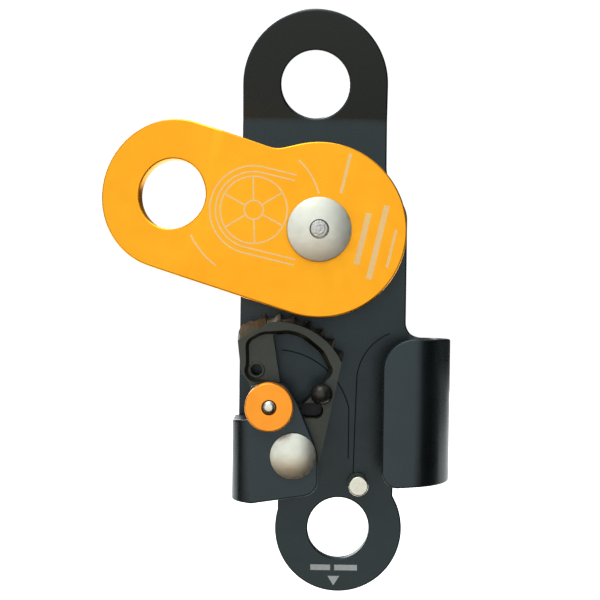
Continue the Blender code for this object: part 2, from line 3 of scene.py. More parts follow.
import json
import math
import bmesh
import bpy
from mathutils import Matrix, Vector


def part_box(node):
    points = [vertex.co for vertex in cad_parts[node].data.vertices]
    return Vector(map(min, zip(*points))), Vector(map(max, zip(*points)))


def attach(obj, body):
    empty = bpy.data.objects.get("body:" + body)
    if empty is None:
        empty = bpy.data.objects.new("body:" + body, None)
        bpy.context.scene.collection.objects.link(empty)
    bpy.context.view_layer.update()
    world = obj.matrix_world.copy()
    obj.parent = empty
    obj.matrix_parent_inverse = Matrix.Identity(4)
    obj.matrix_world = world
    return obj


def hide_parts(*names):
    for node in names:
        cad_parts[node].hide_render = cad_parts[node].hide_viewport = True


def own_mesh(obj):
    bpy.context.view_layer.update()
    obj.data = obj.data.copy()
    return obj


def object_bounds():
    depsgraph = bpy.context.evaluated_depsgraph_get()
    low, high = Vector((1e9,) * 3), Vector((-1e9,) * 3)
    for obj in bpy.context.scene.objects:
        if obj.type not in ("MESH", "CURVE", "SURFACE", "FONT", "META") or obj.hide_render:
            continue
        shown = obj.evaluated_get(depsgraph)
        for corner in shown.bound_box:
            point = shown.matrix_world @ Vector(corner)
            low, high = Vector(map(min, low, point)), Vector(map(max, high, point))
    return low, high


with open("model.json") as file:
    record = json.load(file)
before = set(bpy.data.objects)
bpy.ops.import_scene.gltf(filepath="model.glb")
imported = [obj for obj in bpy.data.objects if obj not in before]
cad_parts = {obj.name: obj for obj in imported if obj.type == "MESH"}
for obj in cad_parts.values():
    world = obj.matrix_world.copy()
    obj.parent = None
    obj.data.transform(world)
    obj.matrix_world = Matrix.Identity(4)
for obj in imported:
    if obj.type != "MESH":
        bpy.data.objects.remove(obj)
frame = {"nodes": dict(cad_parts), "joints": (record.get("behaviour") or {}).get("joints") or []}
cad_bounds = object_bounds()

MM = 0.001
FINE = 3.0
SIDES = 96
RIM = 0.5
FLAT_WIDTH = 0.9
SHARP_ANGLE = math.radians(40)
SMOOTH_TURN = math.cos(SHARP_ANGLE)
SAME_PLANE = 0.999998
GAP = 0.3
CAP_BORE = 2.5
AXLE_HEAD = 7.8
GROOVE_RADIUS = 6.7
GROOVE_HALF = 5.9
GROOVE_STEPS = 24
TREAD_RADIUS = 14.5
KNOB_BORE = 1.95
KNOB_WELL = 4.65
KNOB_WELL_DEPTH = 4.0
LOCK_COIL = 2.45
LOCK_WIRE = 0.22
TORSION_COIL = 5.0
TORSION_WIRE = 0.45
TORSION_TURNS = 3.25

joint_places = {joint["name"]: joint.get("pos_m") for joint in frame["joints"]}


def middle(node):
    """(x, z) of the middle of a CAD node's box, in millimetres."""
    low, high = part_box(node)
    return (low.x + high.x) / 2 / MM, (low.z + high.z) / 2 / MM


def side(node, axis, end):
    """One face of a CAD node's box, in millimetres; end is 0 for the low side and 1 for the high side."""
    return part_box(node)[end][axis] / MM


def span(node):
    """Front, back and half width of a CAD node's box, in millimetres."""
    return side(node, 1, 0), side(node, 1, 1), (side(node, 0, 1) - side(node, 0, 0)) / 2


AXLE = (joint_places["cheek_swing"][0] / MM, joint_places["cheek_swing"][2] / MM)
CAM_PIVOT = (joint_places["cam_pivot"][0] / MM, joint_places["cam_pivot"][2] / MM)
LOCK = middle("lock_pin")
GUIDE_PIN = middle("rope_guide_pin")
STUD = middle("thumb_stud")

PLATE_THICKNESS = 3.5
CHEEK_THICKNESS = 3.0
PLATE_BACK = side("rear_axle_washer", 1, 0) - 0.3
PLATE_FRONT = PLATE_BACK - PLATE_THICKNESS
CHEEK_FRONT = side("swing_cheek", 1, 0)
CHEEK_BACK = CHEEK_FRONT + CHEEK_THICKNESS
CHEEK_OPEN = math.radians(76.9)

EYE_RADIUS = 19.6
EYE_HOLE = 9.25
EYE_STRETCH = 1.02
EYE_TILT = math.radians(16)
TILT_RADIUS = 8.0
TILT_ABOVE_AXLE = 29.4
LOWER_EYE = (7.8, -120.4)
LOWER_EYE_RADIUS = 17.2
LOWER_EYE_HOLE = 8.3
WING_DEPTH = 14.0
WING_FRONT = PLATE_FRONT - WING_DEPTH
TONGUE_FACE = WING_FRONT - PLATE_THICKNESS
RIGHT_BEND_X = 26.2
RIGHT_BEND_RADIUS = 7.0
RIGHT_TONGUE_END = 18.4
LEFT_BEND_X = -15.3
LEFT_BEND_RADIUS = 1.8
LEFT_WING_TOP = -89.7
LEFT_SHOULDER = -20.2
RELIEF_SLOT = 0.8
RELIEF_TOP = -91.5
CHEEK_ROUND = 22.6
CHEEK_EYE_RISE = 39.0
CHEEK_EYE_HOLE = 9.1
CHEEK_BORE = 6.6
AXLE_PIN_RADIUS = 4.0
RIVET_RADIUS = 2.9

CAM_FRONT = side("cam", 1, 0)
CAM_BACK = side("cam", 1, 1)
CHAMFER_CENTRE = (CAM_PIVOT[0] - 4.8, CAM_PIVOT[1] + 15.4)
NOTCH_CENTRE = (CAM_PIVOT[0] + 4.65, CAM_PIVOT[1] + 11.3)
HUB_RADIUS = 7.2
TOOTH_PITCH = 6.5
TOOTH_COUNT = 7
FIRST_TOOTH = 63.8
TOOTH_HEIGHT = 1.5
# degrees past a tooth's tip, and height there as a share of the tooth's
TOOTH_STEPS = [(5.0, 0.0), (3.6, 0.08), (2.2, 0.35), (1.0, 0.75), (0.3, 1.0)]
TOOTH_STEPS += [(-0.3, 1.0), (-0.5, 0.55), (-0.8, 0.0)]
TIPS_START = 63.2
TIPS_RADIUS = 29.3
FACE_DROP = 2.2
TIP_CORNER = (12.4, 24.0)
LEFT_EDGE = [(-9.6, 8.5), (-11.9, 18.6), (-13.9, 21.0), (-14.5, 25.8)]
HEEL_ANGLE = 106.5
HEEL_CHAMFER_ANGLE = 100.7
HEEL_CHAMFER_GROWTH = 0.25
HEEL = [(-15.0, 29.6), (-14.8, 31.6), (-14.1, 33.3), (-12.2, 34.4)]
HEEL_FACE = [(-14.9, 29.3), (-13.9, 29.9), (-12.8, 30.6), (-11.0, 31.6)]
WEB_HOLE = (-9.95, 21.6)
# the cam's pockets, as (x, z) from its pivot with a rounding radius at some corners
WINDOW = [(-5.75, 30.9), (-3.9, 19.6), (-3.4, 13.9), (1.6, 12.0, 1.5), (8.0, 18.4, 2.5)]
WINDOW += [(9.4, 21.4, 1.8), (6.9, 26.3, 6.0), (0.6, 31.4, 9.0)]
RECESS_RIGHT = [(-1.5, 30.6), (-1.5, 12.8), (-3.4, 12.6), (-5.8, 18.9)]
RECESS_TOP = [(-11.9, 24.6), (-12.1, 28.9, 2.0), (-8.3, 31.2, 6.0), (-4.4, 31.0)]
NOTCH = [(1.9, 9.6, 1.6), (7.4, 9.6, 1.6), (7.4, 13.0, 1.6), (1.9, 13.0, 1.6)]
SPRING_SLOT = [(-1.0, 4.0), (-1.0, 8.2, 0.9), (1.2, 8.2, 0.9), (1.2, 4.0)]
RECESS_DEPTH = 2.6
NOTCH_DEPTH = 5.0
WALL_DRAFT = 0.8
ARCH_DRAFT = 1.1
NOTCH_DRAFT = 0.35
SPRING_POCKET = 5.9
SPRING_POCKET_FLOOR = 3.0
CAM_BORE = 4.35
EASED_EDGE = 0.22


# ---- studio

CAMERA_LENS = 75
CAMERA_PLACE = (-3.4 * MM, -331.75 * MM, -58.5 * MM)
CAMERA_ROLL = math.radians(-0.8)
# direction, then the cosines between which the light grows, then its low and high strength
FRONT_PANEL = ((-0.22, -0.96, 0.08), 0.42, 0.95, 0.03, 1.3)
BACK_WALL = ((0, 1, 0), 0.0, 0.9, 0.0, 0.75)
CEILING = ((0, -0.1, 1), 0.45, 1.0, 0.0, 0.7)
RIGHT_GAP = ((1, 0, 0), 0.38, 0.48, 1.0, 0.09)
RIGHT_WALL = ((1, 0, 0), 0.86, 1.0, 0.0, 0.18)
WALL_LEFT = ((-1, 0, 0), -0.4, 0.6, 0.03, 1.0)
ABOVE_TABLE = ((0, 0, 1), -0.5, -0.22, 0.42, 1.0)
TONE_CHANGE = ((0, 0, 1), -0.45, -0.05, 0.0, 1.0)
WARM_TABLE = (1.0, 0.74, 0.52, 1)
COOL_ROOM = (0.94, 0.985, 1.0, 1)
BACKDROP_STRENGTH = 1.05
FLOOR_DROP = 0.03
FLOOR_SIDE = 0.8
FLOOR_DEPTH = 1.2


def placed(name, data):
    """A new object in the scene."""
    made = bpy.data.objects.new(name, data)
    bpy.context.collection.objects.link(made)
    return made


def fill_inputs(node, values):
    for key, value in values.items():
        node.inputs[key].default_value = value


def add_camera():
    """A 75 mm lens in front of the cheek, level, rolled a little to the left."""
    data = bpy.data.cameras.new("camera")
    data.lens = CAMERA_LENS
    data.sensor_width = 36
    data.clip_start = 0.01
    data.clip_end = 20
    camera = placed("camera", data)
    camera.location = CAMERA_PLACE
    camera.rotation_euler = (math.radians(90), CAMERA_ROLL, 0)
    bpy.context.scene.camera = camera


def area_light(name, place, target, size, power, colour=(1, 1, 1)):
    data = bpy.data.lights.new(name, "AREA")
    data.shape = "DISK"
    data.size = size
    data.energy = power
    data.color = colour
    lamp = placed(name, data)
    lamp.location = place
    lamp.rotation_euler = (Vector(target) - Vector(place)).to_track_quat("-Z", "Y").to_euler()


class Nodes:
    """A node tree under construction."""

    def node(self, kind, **settings):
        made = self.tree.nodes.new(kind)
        for key, value in settings.items():
            setattr(made, key, value)
        return made

    def join(self, source, target):
        self.tree.links.new(source, target)

    def maths(self, operation, first, second):
        """A maths node on two sockets or numbers."""
        made = self.node("ShaderNodeMath", operation=operation)
        for slot, value in enumerate((first, second)):
            if isinstance(value, (int, float)):
                made.inputs[slot].default_value = value
            else:
                self.join(value, made.inputs[slot])
        return made.outputs[0]

    def times(self, first, second):
        return self.maths("MULTIPLY", first, second)

    def map_range(self, source, span, **settings):
        """A socket from one range of values into another: span is low, high, low out, high out."""
        made = self.node("ShaderNodeMapRange", **settings)
        fill_inputs(made, dict(zip(("From Min", "From Max", "To Min", "To Max"), span)))
        self.join(source, made.inputs["Value"])
        return made.outputs[0]

    def part(self, vector, axis):
        split = self.node("ShaderNodeSeparateXYZ")
        self.join(vector, split.inputs[0])
        return split.outputs[axis]

    def dot(self, source, direction):
        made = self.node("ShaderNodeVectorMath", operation="DOT_PRODUCT")
        made.inputs[1].default_value = Vector(direction).normalized()
        self.join(source, made.inputs[0])
        return made.outputs["Value"]


class World(Nodes):
    """Builds the studio round the object from the direction of each ray."""

    def __init__(self):
        world = bpy.data.worlds.new("studio")
        bpy.context.scene.world = world
        world.use_nodes = True
        self.tree = world.node_tree
        self.tree.nodes.clear()
        self.way = self.node("ShaderNodeTexCoord").outputs["Generated"]

    def towards(self, direction, *span):
        """Light that grows as a ray turns towards a direction."""
        return self.map_range(self.dot(self.way, direction), span, interpolation_type="SMOOTHSTEP")


def add_world():
    """White behind the object; a soft panel in front, dark sides and a pale wall behind to the left."""
    world = World()
    front = world.times(world.towards(*FRONT_PANEL), world.towards(*RIGHT_GAP))
    light = world.times(front, world.towards(*ABOVE_TABLE))
    light = world.maths("ADD", light, world.towards(*RIGHT_WALL))
    wall = world.times(world.towards(*BACK_WALL), world.towards(*WALL_LEFT))
    light = world.maths("ADD", light, wall)
    light = world.maths("ADD", light, world.towards(*CEILING))
    tone = world.node("ShaderNodeMix", data_type="RGBA")
    fill_inputs(tone, {6: WARM_TABLE, 7: COOL_ROOM})
    world.join(world.towards(*TONE_CHANGE), tone.inputs[0])
    soft = world.node("ShaderNodeBackground")
    world.join(tone.outputs[2], soft.inputs["Color"])
    world.join(light, soft.inputs["Strength"])
    white = world.node("ShaderNodeBackground")
    fill_inputs(white, {"Color": (1, 1, 1, 1), "Strength": BACKDROP_STRENGTH})
    path = world.node("ShaderNodeLightPath")
    mix = world.node("ShaderNodeMixShader")
    out = world.node("ShaderNodeOutputWorld")
    world.join(path.outputs["Is Camera Ray"], mix.inputs[0])
    world.join(soft.outputs[0], mix.inputs[1])
    world.join(white.outputs[0], mix.inputs[2])
    world.join(mix.outputs[0], out.inputs["Surface"])


def add_floor():
    """A pale floor below the hanging pulley."""
    mesh = bpy.data.meshes.new("floor")
    height = cad_bounds[0].z - FLOOR_DROP
    corners = ((-FLOOR_SIDE, 0), (FLOOR_SIDE, 0), (FLOOR_SIDE, FLOOR_DEPTH), (-FLOOR_SIDE, FLOOR_DEPTH))
    mesh.from_pydata([(x, y, height) for x, y in corners], [], [(0, 1, 2, 3)])
    floor = placed("floor", mesh)
    material = bpy.data.materials.new("pale_floor")
    material.use_nodes = True
    shader = material.node_tree.nodes["Principled BSDF"]
    fill_inputs(shader, {"Base Color": (0.9, 0.9, 0.9, 1), "Roughness": 0.9, "Specular IOR Level": 0.0})
    fill_inputs(shader, {"Emission Color": (1, 1, 1, 1), "Emission Strength": 0.85})
    mesh.materials.append(material)


def add_studio():
    scene = bpy.context.scene
    scene.view_settings.view_transform = "Standard"
    scene.view_settings.look = "None"
    add_world()
    aim = (0, 0, -0.06)
    area_light("key", (-0.25, -0.40, 0.70), aim, 0.6, 2.4, (1.0, 0.99, 0.97))
    area_light("top", (-0.1, 0.05, 0.7), aim, 0.6, 2.5)
    area_light("back", (-0.3, 0.6, 0.2), aim, 0.6, 3.0)
    add_floor()


# ---- materials


class Finish(Nodes):
    """Builds one node material round a Principled shader."""

    def __init__(self, name, colour, roughness, metallic):
        self.material = bpy.data.materials.new(name)
        self.material.use_nodes = True
        self.tree = self.material.node_tree
        self.shader = self.tree.nodes["Principled BSDF"]
        self.shader.inputs["Metallic"].default_value = metallic
        self.colour = self.constant("ShaderNodeRGB", (*colour, 1))
        self.roughness = self.constant("ShaderNodeValue", roughness)
        self.normal = None
        self.place = self.node("ShaderNodeTexCoord").outputs["Object"]

    def constant(self, kind, value):
        made = self.node(kind)
        made.outputs[0].default_value = value
        return made.outputs[0]

    def moved(self, scale=(1, 1, 1), turn=0.0, origin=(0, 0, 0)):
        """Object coordinates from origin, turned about Y and scaled."""
        shift = self.node("ShaderNodeMapping", vector_type="POINT")
        shift.inputs["Location"].default_value = [-value for value in origin]
        self.join(self.place, shift.inputs["Vector"])
        made = self.node("ShaderNodeMapping", vector_type="POINT")
        fill_inputs(made, {"Rotation": (0, turn, 0), "Scale": scale})
        self.join(shift.outputs[0], made.inputs["Vector"])
        return made.outputs[0]

    def noise(self, size_mm, detail=3.0, rough=0.55, vector=None):
        made = self.node("ShaderNodeTexNoise")
        fill_inputs(made, {"Scale": 1 / (size_mm * MM), "Detail": detail, "Roughness": rough})
        self.join(self.place if vector is None else vector, made.inputs["Vector"])
        return made.outputs["Fac"]

    def ramp(self, source, low, high, out_low=0.0, out_high=1.0):
        return self.map_range(source, (low, high, out_low, out_high), clamp=True)

    def tint(self, amount, colour):
        """Mixes a colour over what is there; amount is a socket from 0 to 1."""
        made = self.node("ShaderNodeMix", data_type="RGBA")
        self.join(amount, made.inputs[0])
        self.join(self.colour, made.inputs[6])
        made.inputs[7].default_value = (*colour, 1)
        self.colour = made.outputs[2]

    def roughen(self, amount, change):
        self.roughness = self.maths("ADD", self.roughness, self.times(amount, change))

    def bump(self, height, depth_mm):
        made = self.node("ShaderNodeBump")
        fill_inputs(made, {"Strength": 1.0, "Distance": depth_mm * MM})
        self.join(height, made.inputs["Height"])
        if self.normal is not None:
            self.join(self.normal, made.inputs["Normal"])
        self.normal = made.outputs[0]

    def blotches(self, size_mm, detail, colour, amount, low=0.3, high=0.7):
        """Patches of another colour."""
        self.tint(self.ramp(self.noise(size_mm, detail), low, high, 0.0, amount), colour)

    def uneven(self, size_mm, detail, change, low=0.3, high=0.7):
        """Patches of another roughness."""
        self.roughen(self.ramp(self.noise(size_mm, detail), low, high), change)

    def grain(self, size_mm, detail, depth_mm, rough=0.55):
        self.bump(self.noise(size_mm, detail, rough), depth_mm)

    def off_flats(self):
        """0 on faces that look to the front or the back, 1 on rims and side walls."""
        forward = self.part(self.node("ShaderNodeTexCoord").outputs["Normal"], "Y")
        return self.ramp(self.maths("ABSOLUTE", forward, 0), 0.94, 0.9)

    def edge_wear_and_highlight(self, colour, strength):
        """Paler, smoother metal along convex edges, broken up by noise: partly edge wear, partly a painted
        edge highlight.
        """
        pointed = self.node("ShaderNodeNewGeometry").outputs["Pointiness"]
        edge = self.times(self.ramp(pointed, 0.53, 0.62), self.off_flats())
        patches = self.ramp(self.noise(2.2, 4.0), 0.35, 0.7, 0.25, 1.0)
        amount = self.times(self.times(edge, patches), strength)
        self.tint(amount, colour)
        self.roughen(amount, -0.08)

    def leaning(self):
        """1 on faces that lean away from the front, as a chamfer does; 0 on flat fronts and on side walls."""
        forward = self.part(self.node("ShaderNodeNewGeometry").outputs["True Normal"], "Y")
        return self.times(self.ramp(forward, -0.99, -0.95), self.ramp(forward, -0.25, -0.45))

    def along(self, axis):
        """One object coordinate."""
        return self.part(self.place, axis)

    def facing(self, direction, low, high):
        """0 to 1 as the object normal turns towards a direction."""
        return self.ramp(self.dot(self.node("ShaderNodeTexCoord").outputs["Normal"], direction), low, high)

    def scratches(self, size_mm, turn, colour, strength):
        """Sparse hairline scratches along one direction."""
        stretched = self.moved((1.0, 1.0, 0.035), turn)
        lines = self.ramp(self.noise(size_mm, 2.0, 0.5, stretched), 0.66, 0.7)
        where = self.ramp(self.noise(9.0, 2.0), 0.48, 0.66)
        amount = self.times(self.times(lines, where), strength)
        self.tint(amount, colour)
        self.roughen(amount, 0.1)
        self.bump(amount, -0.004)

    def radius_from(self, centre):
        """Distance from the Y axis through centre."""
        vector = self.moved(origin=(centre[0] * MM, 0, centre[1] * MM), scale=(1, 0, 1))
        length = self.node("ShaderNodeVectorMath", operation="LENGTH")
        self.join(vector, length.inputs[0])
        return length.outputs["Value"]

    def turned_rings(self, centre, pitch_mm, depth_mm):
        """Fine tool rings round the Y axis through centre."""
        phase = self.times(self.radius_from(centre), 2 * math.pi / (pitch_mm * MM))
        self.bump(self.maths("SINE", phase, 0), depth_mm)

    def done(self):
        self.join(self.colour, self.shader.inputs["Base Color"])
        self.join(self.roughness, self.shader.inputs["Roughness"])
        if self.normal is not None:
            self.join(self.normal, self.shader.inputs["Normal"])
        return self.material


def black_anodised():
    finish = Finish("black_anodised", (0.004, 0.0055, 0.0062), 0.24, 0.0)
    finish.shader.inputs["Specular IOR Level"].default_value = 0.48
    finish.shader.inputs["Specular Tint"].default_value = (0.76, 0.94, 1.0, 1)
    finish.blotches(26.0, 2.0, (0.006, 0.0075, 0.008), 0.55)
    # Painted sheen: the tongues' front faces are painted paler, as they catch more light than the plate
    # behind them.
    tongue_painted_sheen = finish.ramp(finish.along("Y"), (TONGUE_FACE + 0.3) * MM, TONGUE_FACE * MM)
    finish.tint(tongue_painted_sheen, (0.016, 0.023, 0.029))
    # Painted reflection: the plate is painted lighter towards the bottom, where it reflects the bright floor
    # below.
    painted_floor_reflection = finish.ramp(finish.along("Z"), -105 * MM, -120 * MM)
    finish.tint(painted_floor_reflection, (0.010, 0.018, 0.021))
    finish.uneven(7.0, 4.0, 0.08)
    finish.grain(0.22, 2.0, 0.004)
    finish.grain(1.6, 3.0, 0.006)
    finish.scratches(0.3, 0.35, (0.05, 0.058, 0.06), 0.12)
    finish.scratches(0.25, -0.2, (0.05, 0.055, 0.058), 0.10)
    finish.edge_wear_and_highlight((0.09, 0.095, 0.09), 0.5)
    return finish.done()


def gold_anodised(name, colour, deep, pale):
    finish = Finish(name, colour, 0.27, 0.82)
    finish.blotches(18.0, 2.0, deep, 0.5, 0.3, 0.75)
    finish.uneven(4.0, 4.0, 0.10)
    finish.grain(0.2, 2.0, 0.005)
    finish.edge_wear_and_highlight(pale, 0.5)
    return finish.done()


def bright_steel(name, centre, roughness, rings=0.35):
    finish = Finish(name, (0.70, 0.70, 0.61), roughness, 1.0)
    finish.blotches(3.0, 4.0, (0.56, 0.56, 0.49), 0.4, 0.35, 0.75)
    finish.uneven(1.1, 4.0, 0.12, 0.35, 0.7)
    finish.turned_rings(centre, rings, 0.0016)
    finish.grain(1.4, 2.0, 0.010)
    return finish.done()


def cast_steel():
    finish = Finish("dark_cast_steel", (0.044, 0.050, 0.042), 0.36, 0.5)
    finish.blotches(5.0, 3.0, (0.053, 0.058, 0.049), 0.6, 0.35, 0.7)
    finish.uneven(1.2, 4.0, 0.10)
    finish.grain(0.5, 4.0, 0.012, 0.65)
    # Painted shade: faces that lean away from the front, chamfers and tooth flanks, are painted near black.
    leaning = finish.leaning()
    finish.tint(leaning, (0.004, 0.004, 0.0035))
    # Painted reflection: the chamfer's faces that look up and to the left are painted brown, fading to the
    # right where the cheek's shadow falls.
    within = finish.ramp(finish.radius_from(CHAMFER_CENTRE), 20.4 * MM, 19.8 * MM)
    chamfer_painted_reflection = finish.times(leaning, within)
    chamfer_painted_reflection = finish.times(chamfer_painted_reflection, finish.facing((-0.7, 0, 0.7), -0.25, -0.05))
    chamfer_painted_reflection = finish.times(chamfer_painted_reflection, finish.ramp(finish.along("X"), -1 * MM, -9 * MM, 0.25, 1.0))
    finish.tint(chamfer_painted_reflection, (0.064, 0.052, 0.027))
    # Painted shade: the deep part of the notch below the stud is painted dark.
    notch_shade_area = finish.ramp(finish.radius_from(NOTCH_CENTRE), 4.2 * MM, 3.6 * MM)
    deep = finish.ramp(finish.along("Y"), (CAM_FRONT + 1.5) * MM, (CAM_FRONT + 4.0) * MM)
    finish.tint(finish.times(notch_shade_area, deep), (0.008, 0.007, 0.009))
    # Edge wear and a painted edge highlight: the pale colour paints the light lines along the cam's edges.
    finish.edge_wear_and_highlight((0.16, 0.15, 0.12), 0.9)
    return finish.done()


def mottled(name, look, blotches, uneven=None, grain=None, rings=None):
    """A finish with patches, uneven polish, grain and the rings of turning about the axle."""
    finish = Finish(name, *look)
    finish.blotches(*blotches)
    if uneven:
        finish.uneven(*uneven)
    if grain:
        finish.grain(*grain)
    if rings:
        finish.turned_rings(AXLE, *rings)
    return finish.done()


def glossy_stud():
    patches = (1.5, 3.0, (0.022, 0.020, 0.017), 0.7, 0.35, 0.7)
    look = ((0.018, 0.019, 0.017), 0.26, 0.3)
    return mottled("glossy_stud", look, patches, (0.6, 3.0, 0.12, 0.35, 0.7), (0.8, 2.0, 0.012))


def peened_steel():
    """The pin's riveted end: small random hammer marks."""
    patches = (0.7, 4.0, (0.34, 0.34, 0.33), 0.7, 0.35, 0.7)
    marks = (0.55, 3.0, 0.12, 0.6)
    look = ((0.60, 0.59, 0.56), 0.30, 1.0)
    return mottled("peened_steel", look, patches, (0.5, 3.0, 0.15, 0.35, 0.7), marks, (0.9, 0.02))


def bearing_bronze():
    patches = (2.5, 3.0, (0.36, 0.22, 0.09), 0.6)
    look = ((0.50, 0.31, 0.12), 0.34, 1.0)
    return mottled("bearing_bronze", look, patches, (0.8, 3.0, 0.12), (0.3, 3.0, 0.01))


def turned_aluminium():
    patches = (6.0, 3.0, (0.48, 0.49, 0.50), 0.5)
    look = ((0.62, 0.63, 0.64), 0.26, 1.0)
    return mottled("turned_aluminium", look, patches, (2.0, 3.0, 0.1), rings=(0.45, 0.003))


def black_nylon():
    patches = (2.0, 3.0, (0.035, 0.035, 0.036), 0.6)
    return mottled("black_nylon", ((0.02, 0.02, 0.021), 0.5, 0.0), patches, grain=(0.25, 3.0, 0.02))


def laser_mark():
    patches = (0.5, 3.0, (0.96, 0.58, 0.20), 0.6, 0.35, 0.7)
    return mottled("laser_mark", ((0.98, 0.68, 0.30), 0.5, 0.3), patches, grain=(0.12, 2.0, 0.01))


def grey_mark(name, colour, shade, specular=0.5):
    finish = Finish(name, colour, 0.6, 0.0)
    finish.shader.inputs["Specular IOR Level"].default_value = specular
    finish.blotches(0.4, 3.0, shade, 0.6, 0.35, 0.7)
    finish.grain(0.12, 2.0, 0.01)
    return finish.done()


# ---- shapes


def arc(centre, radius, start, end, step=FINE):
    """Points on a circle from start to end, in degrees, both ends included."""
    count = max(2, math.ceil(abs(end - start) / step))
    angles = [math.radians(start + (end - start) * i / count) for i in range(count + 1)]
    return [(centre[0] + radius * math.cos(a), centre[1] + radius * math.sin(a)) for a in angles]


def circle(centre, radius, sides=SIDES):
    return arc(centre, radius, 0, 360, 360 / sides)[:-1]


def rounded(corners, step=6.0):
    """Closed outline through (x, z) points; a third number rounds that corner with an arc of that radius."""
    outline = []
    for i, (x, z, *radius) in enumerate(corners):
        if not radius:
            outline.append((x, z))
            continue
        before = corners[i - 1]
        after = corners[(i + 1) % len(corners)]
        angle_in = math.atan2(before[1] - z, before[0] - x)
        angle_out = math.atan2(after[1] - z, after[0] - x)
        turn = (angle_out - angle_in + math.pi) % (2 * math.pi) - math.pi
        middle_angle = angle_in + turn / 2
        reach = radius[0] / math.sin(abs(turn) / 2)
        centre = (x + reach * math.cos(middle_angle), z + reach * math.sin(middle_angle))
        sweep = math.copysign(math.pi - abs(turn), turn)
        start = math.degrees(middle_angle + math.pi + sweep / 2)
        outline += arc(centre, radius[0], start, start - math.degrees(sweep), step)
    return outline


def signed_area(loop):
    return sum(a[0] * b[1] - b[0] * a[1] for a, b in zip(loop, loop[1:] + loop[:1])) / 2


def directed(loop, anticlockwise):
    return loop if (signed_area(loop) > 0) == anticlockwise else loop[::-1]


def inset(loop, distance):
    """Moves a loop towards its left side, where the material is."""
    moved = []
    for i, (x, z) in enumerate(loop):
        before = loop[i - 1]
        after = loop[(i + 1) % len(loop)]
        first = Vector((x - before[0], z - before[1])).normalized()
        second = Vector((after[0] - x, after[1] - z)).normalized()
        left = Vector((-first.y - second.y, first.x + second.x))
        share = distance / max(1 + first.dot(second), 0.35)
        moved.append((x + left.x * share, z + left.y * share))
    return moved


def rim_steps(thickness, steps=4):
    """(inset, depth) of the rings that round both rims of a sheet's edge."""
    front = []
    for i in range(steps + 1):
        angle = math.pi / 2 * i / steps
        front.append((RIM * (1 - math.sin(angle)), RIM * (1 - math.cos(angle))))
    return front + [(step, thickness - depth) for step, depth in reversed(front)]


def flat_faces(mesh):
    """Indices of the faces in wide coplanar areas, unlike a bend's strips or a dome's rings."""
    shape = bmesh.new()
    shape.from_mesh(mesh)
    shape.normal_update()
    seen = set()
    found = []
    for first in shape.faces:
        if first.index in seen:
            continue
        seen.add(first.index)
        area = [first]
        for face in area:
            for edge in face.edges:
                for other in edge.link_faces:
                    if other.index not in seen and other.normal.dot(first.normal) > SAME_PLANE:
                        seen.add(other.index)
                        area.append(other)
        inside = set(area)
        edges = [edge for face in area for edge in face.edges if not inside.issuperset(edge.link_faces)]
        rim = sum(edge.calc_length() for edge in edges)
        if sum(face.calc_area() for face in area) / max(rim, 1e-9) > FLAT_WIDTH * MM:
            found += [face.index for face in area]
    shape.free()
    return found


def keep_flats_flat(mesh):
    """Gives every corner at a wide flat area that area's normal, so that no streaks run across it."""
    flats = {}
    for index in flat_faces(mesh):
        face = mesh.polygons[index]
        for vertex in face.vertices:
            flats.setdefault(vertex, []).append(face.normal.copy())
    normals = [corner.vector.copy() for corner in mesh.corner_normals]
    for face in mesh.polygons:
        for corner in face.loop_indices:
            near = flats.get(mesh.loops[corner].vertex_index)
            if near:
                closest = max(near, key=face.normal.dot)
                if closest.dot(face.normal) > SMOOTH_TURN:
                    normals[corner] = closest
    mesh.normals_split_custom_set(normals)


def finish_piece(name, mesh, body, material, nodes=()):
    """Puts a mesh in the scene, shades it, hangs it on its body and hides the CAD nodes it stands for."""
    mesh.materials.append(material)
    mesh.shade_smooth()
    mesh.set_sharp_from_angle(angle=SHARP_ANGLE)
    keep_flats_flat(mesh)
    piece = placed(name, mesh)
    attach(piece, body)
    if nodes:
        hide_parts(*nodes)
    return piece


def mesh_of(name, shape):
    bmesh.ops.recalc_face_normals(shape, faces=shape.faces)
    bmesh.ops.scale(shape, vec=(MM, MM, MM), verts=shape.verts)
    mesh = bpy.data.meshes.new(name)
    shape.to_mesh(mesh)
    shape.free()
    return mesh


def skin(shape, rings):
    """Quads between closed rings of equal length."""
    size = len(rings[0])
    for near, far in zip(rings, rings[1:]):
        for i in range(size):
            j = (i + 1) % size
            shape.faces.new((near[i], near[j], far[j], far[i]))


def capped(shape, rings):
    """A closed skin with a face at each end."""
    skin(shape, rings)
    shape.faces.new(rings[0])
    shape.faces.new(rings[-1])


def sheet_shape(outline, holes, thickness):
    """A sheet in its flat pattern (x, z, depth) with rounded rims."""
    shape = bmesh.new()
    loops = [directed(outline, True)] + [directed(hole, False) for hole in holes]
    front = []
    back = []
    for loop in loops:
        rings = []
        for step, depth in rim_steps(thickness):
            rings.append([shape.verts.new((x, z, depth)) for x, z in inset(loop, step)])
        skin(shape, rings)
        for ring, kept in ((rings[0], front), (rings[-1], back)):
            for near, far in zip(ring, ring[1:] + ring[:1]):
                kept.append(shape.edges.get((near, far)))
    bmesh.ops.triangle_fill(shape, use_beauty=True, edges=front)
    bmesh.ops.triangle_fill(shape, use_beauty=True, edges=back)
    return shape


def bent_sheet(name, outline, holes, thickness, cuts, bend):
    shape = sheet_shape(outline, holes, thickness)
    for place, normal in cuts:
        everything = [*shape.verts, *shape.edges, *shape.faces]
        bmesh.ops.bisect_plane(shape, geom=everything, dist=1e-5, plane_co=place, plane_no=normal)
    bmesh.ops.triangulate(shape, faces=shape.faces)
    for vertex in shape.verts:
        vertex.co = bend(*vertex.co)
    return mesh_of(name, shape)


